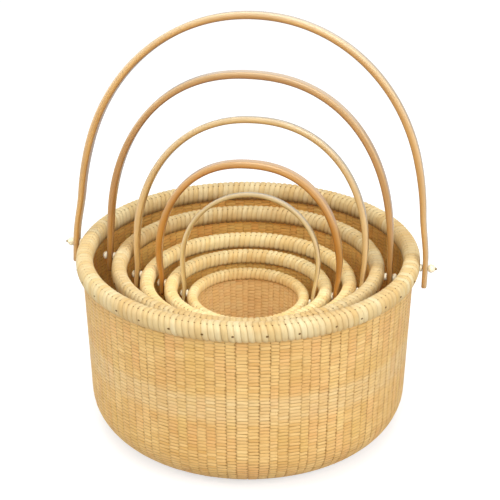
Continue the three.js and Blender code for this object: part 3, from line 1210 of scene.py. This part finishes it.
@dataclass
class Base(SubAssembly):
    """The base board, turned, with a groove in its edge for the stave ends."""

    lip: float = 0.0016
    pinhole: float = 0.0004

    def build(self) -> None:
        """Turns the board."""
        radius, low, high, lip = self.basket.base_radius, self.basket.floor, self.basket.base_top, self.lip
        groove = low + GROOVE_LIFT
        groove_low, groove_high = groove - RUNNING_GAP, groove + 2 * HALF_WALL + RUNNING_GAP
        line = [
            [self.pinhole, low],
            [radius - 2.5 * lip, low],
            [radius - 0.8 * lip, low + 0.2 * lip],
            [radius - 0.2 * lip, low + 0.6 * lip],
            [radius, groove_low],
            [radius - GROOVE_DEPTH, groove_low],
            [radius - GROOVE_DEPTH, groove_high],
            [radius, groove_high],
            [radius, high - lip],
            [radius - 0.3 * lip, high - 0.3 * lip],
            [radius - lip, high],
            [radius * 0.5, high],
            [self.pinhole, high],
        ]
        self.round_piece("turned_base", BASE_WOOD, np.array(line), "base_wood", "base_board")


@dataclass
class Rim(SubAssembly):
    """The rim: two hoops at the wall's top, the cane wound over them and the small nails outside."""

    ring: bpy.types.NodeTree
    wraps: int
    nails: int
    finish: RimCaneFinish
    roundness: float = 2.5
    hoop_inset: float = 0.0016
    hoop_steps: int = 20
    wrap_steps: int = 23
    wrap_slant: float = 0.7
    wrap_overlap: float = 1.03
    wrap_drift: float = 0.025
    hole_angle: float = 0.42
    hole_reach: float = 0.1
    hole_pinch: float = 0.17
    nail_radius: float = 0.0011
    nail_stretch: float = 1.4
    nail_sides: int = 7
    nail_seat: float = 0.0004
    nail_drop: float = 0.0008
    nail_drift: float = 0.12

    def build(self) -> None:
        """Makes the hoops, the lashing and the nails."""
        basket = self.basket
        inset = self.hoop_inset
        hoop = self.section(inset, round_turn(self.hoop_steps)) + [basket.rim_centre, basket.rim_middle]
        self.round_piece("rim_hoops", SHADED_HOOP_WOOD, hoop, "rim_hoop_wood", "outer_hoop", "inner_hoop")
        lashing = {"Piece": self.wrap(), "Count": self.wraps, "Drift": self.wrap_drift}
        lashing["Seed"] = basket.seed + LASHING_SEED
        self.copies("cane_lashing", lashing, self.finish, "rim_cane", "rim_lashing")
        nails = {"Piece": self.nail(), "Count": self.nails, "Drift": self.nail_drift}
        nails["Seed"] = basket.seed + NAIL_SEED
        self.copies("rim_nails", nails, NAIL, "pin_brass")

    def section(self, inset: float, angles: np.ndarray) -> np.ndarray:
        """Returns points of the rim's section from its middle, set in by a distance."""
        half_height = (self.basket.rim_high - self.basket.rim_low) / 2
        return oval(self.basket.rim_width / 2 - inset, half_height - inset, angles, self.roundness)

    def copies(self, name: str, values: dict[str, object], finish: Finish, slot: str, *solids: str) -> None:
        """Sets copies of a piece round the rim and takes the piece itself away.

        Args:
            name: the name of all the copies as one piece.
            values: the tree's inputs, apart from the finish.
            finish: what the copies are dressed in.
            slot: their material slot.
            solids: the basket's solids that they replace.
        """
        host = object_of(self.basket.node(name), bpy.data.meshes.new(f"{name}_seed"))
        grown(host, self.ring, {**values, "Finish": finish.material()})
        bpy.data.objects.remove(values["Piece"])
        self.settle(host, self.basket.name, slot, *solids)

    def wrap(self) -> bpy.types.Object:
        """Winds one wrap of flat cane over the rim, pinched where the small holes lie beside it.

        Returns:
            The wrap.
        """
        basket = self.basket
        top = math.pi / 2
        holes = [top - self.hole_angle, top + self.hole_angle]
        near = [hole + shift for hole in holes for shift in (-self.hole_reach, 0, self.hole_reach)]
        turn = np.sort(np.concatenate([np.linspace(-top, math.tau - top, self.wrap_steps), near]))
        width = self.wrap_overlap - 2 * np.where(np.isin(turn, holes), self.hole_pinch, 0.0)
        columns = []
        for across, inset in zip(WRAP_SPREAD, WRAP_INSETS):
            section = self.section(inset, turn)
            share = (across - 0.5) * width + self.wrap_slant * np.abs(turn - top) / math.pi
            angle = share * math.tau / self.wraps
            radius = basket.rim_centre + section[:, 0]
            height = basket.rim_middle + section[:, 1]
            columns.append(np.stack([radius * np.cos(angle), radius * np.sin(angle), height], axis=1))
        loft = Loft().add(np.stack(columns, axis=1), np.linspace(0, 1, len(turn)), WRAP_SPREAD)
        wrap = loft.object("wrap", outward=False)
        wrap.data.flip_normals()
        return wrap

    def nail(self) -> bpy.types.Object:
        """Makes the head of one nail, on the outside of the rim.

        Returns:
            The nail.
        """
        seat = self.basket.rim_radius - self.nail_seat
        line = np.array([[seat + out, self.nail_radius * share] for out, share in NAIL_DOME])
        rows = pin_rings(line, self.nail_sides, self.basket.rim_middle - self.nail_drop, self.nail_stretch)
        loft = Loft().add(rows, range(len(rows)), range(self.nail_sides + 1), closed=True, capped=True)
        return loft.object("nail")


@dataclass
class Fittings(SubAssembly):
    """What carries the handle at each end: a brass pin, a bone washer and a bone knob."""

    bore_room: float = 0.0002
    pin_bevel: float = 0.0003
    pin_start: float = 0.8
    edge_steps: int = 9
    edge_roundness: float = 2.4
    edge_share: float = 0.4
    knob_steps: int = 12
    egg_start: float = 0.2
    egg_run: float = 0.7
    egg_power: float = 0.75

    def build(self) -> None:
        """Turns the pins, the spacers and the knobs."""
        low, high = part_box(self.basket.node("right_pin"))
        radius = (high[2] - low[2]) / 2
        start = [[low[0], radius * self.pin_start], [low[0] + self.pin_bevel, radius]]
        end = [[high[0] - back, radius * share] for back, share in PIN_END]
        self.pair("pins", BRASS, "pin_brass", "pin", np.array(start + end), bored=False)
        bore = radius + self.bore_room
        self.pair("spacers", BONE, "bone", "spacer", self.spacer_line(bore), bored=True)
        self.pair("knobs", BONE, "bone", "knob", self.knob_line(bore), bored=True)

    def spacer_line(self, bore: float) -> np.ndarray:
        """Draws the line of a washer with a rounded edge, from bore to bore.

        Args:
            bore: the radius of its bore.

        Returns:
            Points of distance along the pins and radius.
        """
        low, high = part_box(self.basket.node("right_spacer"))
        radius = (high[2] - low[2]) / 2
        half = (high[0] - low[0]) / 2
        middle = (high[0] + low[0]) / 2
        depth = min(half, radius * self.edge_share)
        angles = np.linspace(-math.pi / 2, math.pi / 2, self.edge_steps)
        edge = oval(depth, half, angles, self.edge_roundness)
        rounded = np.stack([middle + edge[:, 1], radius - depth + edge[:, 0]], axis=1)
        return np.vstack([[[low[0], bore]], rounded, [[high[0], bore]]])

    def knob_line(self, bore: float) -> np.ndarray:
        """Draws the line of an egg-shaped knob, from bore to bore.

        Args:
            bore: the radius of its bore.

        Returns:
            Points of distance along the pins and radius.
        """
        low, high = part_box(self.basket.node("right_knob"))
        radius = (high[2] - low[2]) / 2
        share = np.linspace(0, 1, self.knob_steps)
        swell = np.sin(math.pi * (self.egg_start + self.egg_run * share)) ** self.egg_power
        egg = np.stack([low[0] + share * (high[0] - low[0]), np.maximum(radius * swell, bore)], axis=1)
        return np.vstack([[[low[0], bore]], egg, [[high[0], bore]]])

    def pair(self, name: str, finish: Finish, slot: str, solid: str, line: np.ndarray, bored: bool) -> None:
        """Turns a fitting about the handle's axis, one for each end.

        Args:
            name: the piece's name.
            finish: what it is dressed in.
            slot: its material slot.
            solid: the end of the names of the solids that it replaces.
            line: points of distance from the basket's axis and radius about the pins.
            bored: whether the line closes on itself round a bore, and isn't capped.
        """
        loft = Loft()
        for end in End:
            rows = pin_rings(line * [end.value, 1], FITTING_STEPS, self.basket.rim_middle)
            along, around = range(len(rows) + 1), range(FITTING_STEPS + 1)
            loft.add(rows, along, around, closed=True, looped=bored, capped=not bored)
        solids = [f"{end.name.lower()}_{solid}" for end in End]
        self.settle(loft.object(self.basket.node(name), finish), self.basket.name, slot, *solids)


@dataclass
class Handle(SubAssembly):
    """The bentwood handle, a strip with a rounded section that swells from the legs to the crown."""

    body: str
    finish: WoodFinish
    bow: float
    bow_height: float
    arch_power: float
    swell_height: float
    lean: float
    roundness: float = 6.0
    bend_ease: float = 0.5
    ease_reach: float = 2.0
    tail_round: float = 0.0024
    leg_steps: int = 5
    bow_steps: int = 10
    arch_steps: int = 48
    section_steps: int = 28
    slope_step: float = 0.001
    crown_room: float = 1e-5

    def build(self) -> None:
        """Bends the handle's strip of wood."""
        half = self.half_line()
        line = np.vstack([half, half[::-1][1:] * [-1, 1, 1, 1]])
        tangent = np.gradient(line[:, :2], axis=0)
        tangent /= np.linalg.norm(tangent, axis=1)[:, None]
        angles = round_turn(self.section_steps)
        rows = []
        for (side, height, thick, wide), (run, climb) in zip(line, tangent):
            out, back = oval(thick, wide, angles, self.roundness).T
            rows.append(np.column_stack([side + out * climb, back, height - out * run]))
        grid = np.array(rows)
        middle = grid[len(grid) // 2]
        around = np.linalg.norm(np.roll(middle, -1, axis=0) - middle, axis=1)
        steps = np.linalg.norm(np.diff(line[:, :2], axis=0), axis=1)
        along, across = (np.concatenate([[0], np.cumsum(lengths)]) for lengths in (steps, around))
        loft = Loft().add(self.leaning(grid), along, across, closed=True, capped=True)
        piece = loft.object(self.basket.node("bent_handle"), self.finish)
        # Which face of the section each point lies on, outer +1 and inner -1, for the finish's painted reflection
        # and shade
        face = piece.data.attributes.new("face", "FLOAT", "POINT")
        face.data.foreach_set("value", np.tile(oval(1.0, 1.0, angles, self.roundness)[:, 0], len(grid)))
        self.settle(piece, self.body, f"{self.body}_wood", "handle")

    def half_line(self) -> np.ndarray:
        """Works out the bent line of one half of the handle, from the tail to the crown.

        Returns:
            Points of distance to the side and height above the pins, each with half the strip's thickness and
            width there.
        """
        solid = self.upright(node_points(self.basket.node("handle")))
        crown = solid[(np.abs(solid[:, 0]) < self.crown_room) & (solid[:, 2] > 0)]
        rise, crown_low = crown[:, 2].max(), crown[:, 2].min()
        tail = -solid[:, 2].min()
        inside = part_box(self.basket.node("right_spacer"))[1][0] + RUNNING_GAP
        knob_low, knob_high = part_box(self.basket.node("right_knob"))
        outside = knob_low[0] - RUNNING_GAP
        half_span = (inside + outside) / 2
        straight_top = (knob_high[2] - knob_low[2]) / 2
        rounding = self.tail_round * np.array(TAIL_ROUNDING) - tail
        legs = np.linspace(self.tail_round - tail, straight_top, self.leg_steps)[1:]
        tail_heights = np.concatenate([rounding, legs])
        heights = np.linspace(straight_top, self.bow_height, self.bow_steps)[1:]
        share = (heights - straight_top) / (self.bow_height - straight_top)
        bowed = half_span + self.bow * (1 - np.cos(math.pi * share)) / 2
        arch_rise = (rise + crown_low) / 2 - self.bow_height
        quarter = np.linspace(0, math.pi / 2, self.arch_steps)[1:]
        arch = oval(half_span + self.bow, arch_rise, quarter, self.arch_power)
        side = np.concatenate([np.full(len(tail_heights), half_span), bowed, arch[:, 0]])
        height = np.concatenate([tail_heights, heights, self.bow_height + arch[:, 1]])
        side = self.eased(side, height, straight_top, self.bow_height * self.ease_reach)
        swell = smooth_step(np.clip(height / self.swell_height, 0, 1))
        leg = np.array([outside - inside, 2 * np.abs(solid[solid[:, 2] < 0, 1]).max()])
        full = np.array([rise - crown_low, 2 * np.abs(crown[:, 1]).max()])
        from_end = 1 - np.clip((height + tail) / self.tail_round, 0, 1)
        half_sizes = (leg + np.outer(swell, full - leg)) / 2 * np.sqrt(1 - from_end**2)[:, None]
        return np.column_stack([side, height, half_sizes])

    def eased(self, side: np.ndarray, height: np.ndarray, low: float, high: float) -> np.ndarray:
        """Eases the bends of a leg towards one long curve.

        Args:
            side: distances to the side.
            height: heights above the pins.
            low: where the curve starts, upright.
            high: where it runs into the arch.

        Returns:
            The eased distances to the side.
        """
        first, last = np.interp([low, high], height, side)
        slope = (last - np.interp(high - self.slope_step, height, side)) / self.slope_step
        share = np.clip((height - low) / (high - low), 0, 1)
        curve = first + (last - first) * smooth_step(share) + slope * (high - low) * (share**3 - share**2)
        inside = (height > low) & (height < high)
        return np.where(inside, side + self.bend_ease * (curve - side), side)

    def upright(self, points: np.ndarray) -> np.ndarray:
        """Turns points of the leaning handle upright about its pins.

        Args:
            points: points in the frame.

        Returns:
            The points from the pivot, as if the handle stood upright.
        """
        sine, cosine = math.sin(math.radians(self.lean)), math.cos(math.radians(self.lean))
        x, y, z = points[:, 0], points[:, 1], points[:, 2] - self.basket.rim_middle
        return np.stack([x, y * cosine - z * sine, y * sine + z * cosine], axis=1)

    def leaning(self, points: np.ndarray) -> np.ndarray:
        """Turns points of an upright handle to where the handle leans.

        Args:
            points: points from the pivot.

        Returns:
            The points in the frame.
        """
        sine, cosine = math.sin(math.radians(self.lean)), math.cos(math.radians(self.lean))
        x, y, z = points[..., 0], points[..., 1], points[..., 2]
        return np.stack([x, y * cosine + z * sine, z * cosine - y * sine + self.basket.rim_middle], axis=-1)


def strand_object() -> bpy.types.Object:
    """Makes one stretch of cane over a stave, of unit length, width and height.

    Returns:
        The object, which the weave copies.
    """
    runs = np.array([-0.5, -0.45, -0.37, 0.37, 0.45, 0.5])
    rises = np.array([-0.3, 0.6, 1.0, 1.0, 0.6, -0.3])
    halves = np.array([0.2, 0.3, 0.5, 0.5, 0.3, 0.2])
    crowned = ((-1.0, 0.3), (-0.55, 0.0), (0.55, 0.0), (1.0, 0.3))
    rows = [
        [(run, side * wide, up - drop) for side, drop in crowned] for run, up, wide in zip(runs, rises, halves)
    ]
    loft = Loft().add(np.array(rows), runs + 0.5, (0.0, 0.25, 0.75, 1.0))
    return loft.object("strand", outward=False)


@dataclass(frozen=True)
class Lamp:
    """One soft square lamp: where it hangs, the length of its sides and its power in watts."""

    name: str
    place: tuple[float, float, float]
    size: float
    power: float


LAMPS = (
    Lamp("key", (0.4, -2.0, 1.75), 1.2, 22.6),
    Lamp("right", (2.2, -1.0, 1.2), 1.4, 28.0),
    Lamp("left", (-2.2, -1.0, 1.2), 1.4, 22.0),
    Lamp("top", (0.0, -0.4, 2.5), 1.4, 30.0),
)


@dataclass
class Studio:
    """Pale floor, soft lamps and the camera at the photograph's angle."""

    target_height: float = 0.170
    distance: float = 1.6
    azimuth: float = 10.0
    elevation: float = 26.11
    lens: float = 110.3
    shift_x: float = 0.0038
    shift_y: float = 0.0413
    floor_half: float = 9.0
    floor_drop: float = 0.0003
    floor_grey: float = 0.55
    floor_glow: float = 0.6
    even_light: float = 0.43

    def build(self) -> None:
        """Sets the floor, the world, the lamps and the camera."""
        self.floor()
        self.world()
        for lamp in LAMPS:
            self.hang(lamp)
        self.camera()
        bpy.context.scene.view_settings.view_transform = "Standard"

    def floor(self) -> None:
        """Lays the floor."""
        half = self.floor_half
        mesh = bpy.data.meshes.new("floor")
        corners = [(x * half, y * half, -self.floor_drop) for x, y in ((-1, -1), (1, -1), (1, 1), (-1, 1))]
        mesh.from_pydata(corners, [], [(0, 1, 2, 3)])
        material = bpy.data.materials.new("pale_floor")
        material.use_nodes = True
        graph = Graph(material.node_tree)
        seen = graph.node("ShaderNodeLightPath").outputs["Is Camera Ray"]
        feeds = {
            "Base Color": (self.floor_grey, self.floor_grey, self.floor_grey, 1.0),
            "Roughness": 0.9,
            "Specular IOR Level": 0.1,
            "Emission Color": WHITE,
            "Emission Strength": graph.times(seen, self.floor_glow),
        }
        graph.fill(material.node_tree.nodes["Principled BSDF"], feeds)
        mesh.materials.append(material)
        object_of("floor", mesh)

    def world(self) -> None:
        """Lights the scene evenly from all round, with a white background to look at."""
        world = bpy.data.worlds.new("studio")
        world.use_nodes = True
        world.node_tree.nodes.clear()
        graph = Graph(world.node_tree)
        path = graph.node("ShaderNodeLightPath").outputs
        seen = graph.math("MAXIMUM", path["Is Camera Ray"], path["Is Glossy Ray"])
        seen = graph.math("MAXIMUM", seen, path["Is Transmission Ray"])
        even = graph.result("ShaderNodeBackground", {"Color": WHITE, "Strength": self.even_light})
        white = graph.result("ShaderNodeBackground", {"Color": WHITE, "Strength": 1.0})
        mix = graph.result("ShaderNodeMixShader", {0: seen, 1: even, 2: white})
        graph.node("ShaderNodeOutputWorld", {"Surface": mix})
        bpy.context.scene.world = world

    def hang(self, lamp: Lamp) -> None:
        """Hangs one lamp that faces the nest.

        Args:
            lamp: the lamp.
        """
        data = bpy.data.lights.new(lamp.name, "AREA")
        data.size = lamp.size
        data.energy = lamp.power
        hung = object_of(lamp.name, data)
        hung.location = lamp.place
        hung.rotation_euler = self.facing(np.array([0.0, 0.0, self.target_height]) - np.array(lamp.place))

    def facing(self, aim: np.ndarray) -> tuple[float, float, float]:
        """Returns the turn that points a lamp or camera along a direction, kept level."""
        flat = math.hypot(aim[0], aim[1])
        return (math.atan2(flat, -aim[2]), 0.0, math.atan2(-aim[0], aim[1]))

    def camera(self) -> None:
        """Sets the camera."""
        data = bpy.data.cameras.new("camera")
        data.lens = self.lens
        data.sensor_width = SENSOR_WIDTH
        data.shift_x = self.shift_x
        data.shift_y = self.shift_y
        camera = object_of("camera", data)
        turn = math.radians(self.azimuth)
        rise = math.radians(self.elevation)
        back = np.array([math.sin(turn) * math.cos(rise), -math.cos(turn) * math.cos(rise), math.sin(rise)])
        camera.location = np.array([0.0, 0.0, self.target_height]) + back * self.distance
        camera.rotation_euler = self.facing(-back)
        bpy.context.scene.camera = camera


def nest(
    weave: bpy.types.NodeTree, ring: bpy.types.NodeTree, strand: bpy.types.Object
) -> list[SubAssembly]:
    """Lays out the sub-assemblies of the five baskets, the largest basket first.

    Args:
        weave: the tree that weaves the walls.
        ring: the tree that sets copies round the rims.
        strand: the stretch of cane that the weave copies.

    Returns:
        The sub-assemblies in the order in which they are made.
    """
    basket14 = Basket("basket14", 101, foot_radius=0.043, taper=0.0048, overhang=0.0062, rim_width=0.0178)
    basket11 = Basket("basket11", 211, foot_radius=0.036, taper=0.0044, overhang=0.0056, rim_width=0.0158)
    basket9 = Basket("basket9", 307, foot_radius=0.030, taper=0.0040, overhang=0.0052, rim_width=0.0150)
    basket7 = Basket("basket7", 401, foot_radius=0.024, taper=0.0034, overhang=0.0048, rim_width=0.0140)
    basket5 = Basket("basket5", 503, foot_radius=0.018, taper=0.0028, overhang=0.0040, rim_width=0.0115)
    return [
        Wall(basket14, weave, strand, staves=103, inner_finish=BRIGHTENED_INNER_CANE),
        Base(basket14),
        Rim(basket14, ring, wraps=176, nails=34, finish=RIM_CANE),
        Fittings(basket14),
        Handle(
            basket14, "handle14", HANDLE14_WOOD,
            bow=-0.0075, bow_height=0.056, arch_power=2.05, swell_height=0.125, lean=11.0,
        ),
        Wall(basket11, weave, strand, staves=95, inner_finish=BRIGHTENED_INNER_CANE),
        Base(basket11),
        Rim(basket11, ring, wraps=146, nails=28, finish=RIM_CANE),
        Fittings(basket11),
        Handle(
            basket11, "handle11", HANDLE11_WOOD,
            bow=-0.0010, bow_height=0.025, arch_power=2.23, swell_height=0.090, lean=6.0,
        ),
        Wall(basket9, weave, strand, staves=81, inner_finish=BRIGHTENED_INNER_CANE),
        Base(basket9),
        Rim(basket9, ring, wraps=112, nails=22, finish=BRIGHTENED_RIM_CANE),
        Fittings(basket9),
        Handle(
            basket9, "handle9", HANDLE9_WOOD,
            bow=0.0021, bow_height=0.035, arch_power=2.17, swell_height=0.075, lean=15.0,
        ),
        Wall(basket7, weave, strand, staves=67, inner_finish=BRIGHTENED_INNER_CANE),
        Base(basket7),
        Rim(basket7, ring, wraps=92, nails=18, finish=BRIGHTENED_RIM_CANE),
        Fittings(basket7),
        Handle(
            basket7, "handle7", HANDLE7_WOOD,
            bow=0.0034, bow_height=0.024, arch_power=2.25, swell_height=0.060, lean=4.0,
        ),
        Wall(basket5, weave, strand, staves=51, inner_finish=BRIGHTEST_INNER_CANE),
        Base(basket5),
        Rim(basket5, ring, wraps=70, nails=14, finish=BRIGHTENED_RIM_CANE),
        Fittings(basket5),
        Handle(
            basket5, "handle5", HANDLE5_WOOD,
            bow=0.0044, bow_height=0.038, arch_power=2.02, swell_height=0.050, lean=15.0,
        ),
    ]


def main() -> None:
    """Builds the studio and the nest."""
    logging.basicConfig(level=logging.INFO, format="%(name)s %(message)s")
    Studio().build()
    strand = strand_object()
    for part in nest(weave_tree(), ring_tree(), strand):
        part.build()
    bpy.data.objects.remove(strand)


if __name__ == "__main__":
    main()
